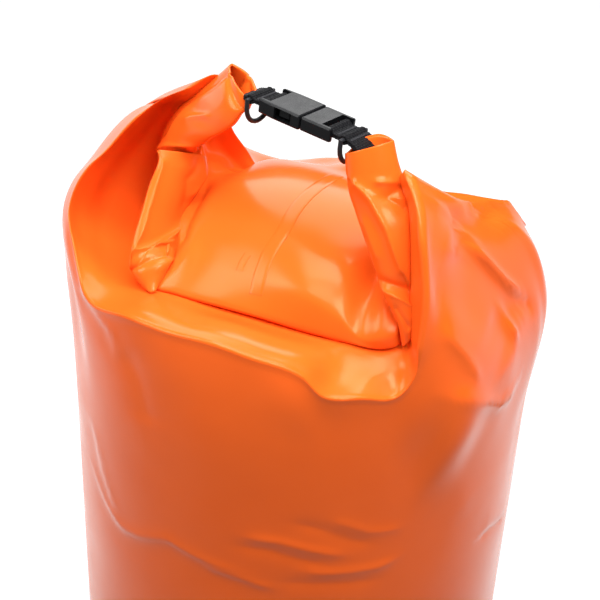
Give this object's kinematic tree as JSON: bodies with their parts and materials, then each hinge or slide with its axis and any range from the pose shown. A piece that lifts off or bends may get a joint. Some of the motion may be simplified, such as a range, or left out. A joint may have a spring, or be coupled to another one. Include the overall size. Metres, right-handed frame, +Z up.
{
  "type": "dry bag",
  "caption": "Tall round roll-top dry bag, closed: the mouth is rolled down and its ends are clipped together by a side-release buckle into a carrying handle.",
  "frame": {"origin": "middle of the underside of the round base", "axes": "+Z up, X along the roll with the female half of the buckle at -X, -Y the side towards which the mouth is rolled"},
  "size_m": [0.3112, 0.3112, 0.6168],
  "materials": {
    "coated_fabric": "glossy coated",
    "webbing": "woven",
    "buckle_plastic": "fine grained",
    "ring_plastic": "satin",
    "stiffener_plastic": "satin"
  },
  "bodies": {
    "bag": {"bag_wall": "coated_fabric", "base_disc": "coated_fabric", "top_fold": "coated_fabric", "rolled_mouth": "coated_fabric", "mouth_stiffener": "stiffener_plastic", "left_horn": "coated_fabric", "right_horn_foot": "coated_fabric", "left_gusset": "coated_fabric", "right_gusset": "coated_fabric", "left_webbing": "webbing", "buckle_housing": "buckle_plastic"},
    "loose_end": {"right_horn_top": "coated_fabric", "right_webbing": "webbing", "buckle_plug": "buckle_plastic"},
    "front_arm": {"front_latch_arm": "buckle_plastic"},
    "rear_arm": {"rear_latch_arm": "buckle_plastic"},
    "left_ring": {"left_d_ring": "ring_plastic"},
    "right_ring": {"right_d_ring": "ring_plastic"}
  },
  "joints": [
    {"name": "buckle_release", "type": "slide", "parent": "bag", "child": "loose_end", "axis": [0.9799, -0.1994, 0], "range_m": [0, 0.03]},
    {"name": "front_latch_press", "type": "hinge", "parent": "loose_end", "child": "front_arm", "pos_m": [0.01985, -0.05028, 0.61122], "axis": [0.0277, 0.1364, 0.9903], "range_deg": [-6, 0], "stiffness_Nm_per_rad": 0.3},
    {"name": "rear_latch_press", "type": "hinge", "parent": "loose_end", "child": "rear_arm", "pos_m": [0.0219, -0.04019, 0.60978], "axis": [0.0277, 0.1364, 0.9903], "range_deg": [0, 6], "stiffness_Nm_per_rad": 0.3},
    {"name": "left_ring_swing", "type": "hinge", "parent": "bag", "child": "left_ring", "pos_m": [-0.01901, -0.03712, 0.6105], "axis": [0.1974, 0.9704, -0.1392], "range_deg": [-40, 36]},
    {"name": "right_ring_swing", "type": "hinge", "parent": "loose_end", "child": "right_ring", "pos_m": [0.04861, -0.05088, 0.6105], "axis": [0.1974, 0.9704, -0.1392], "range_deg": [-24, 40]}
  ]
}
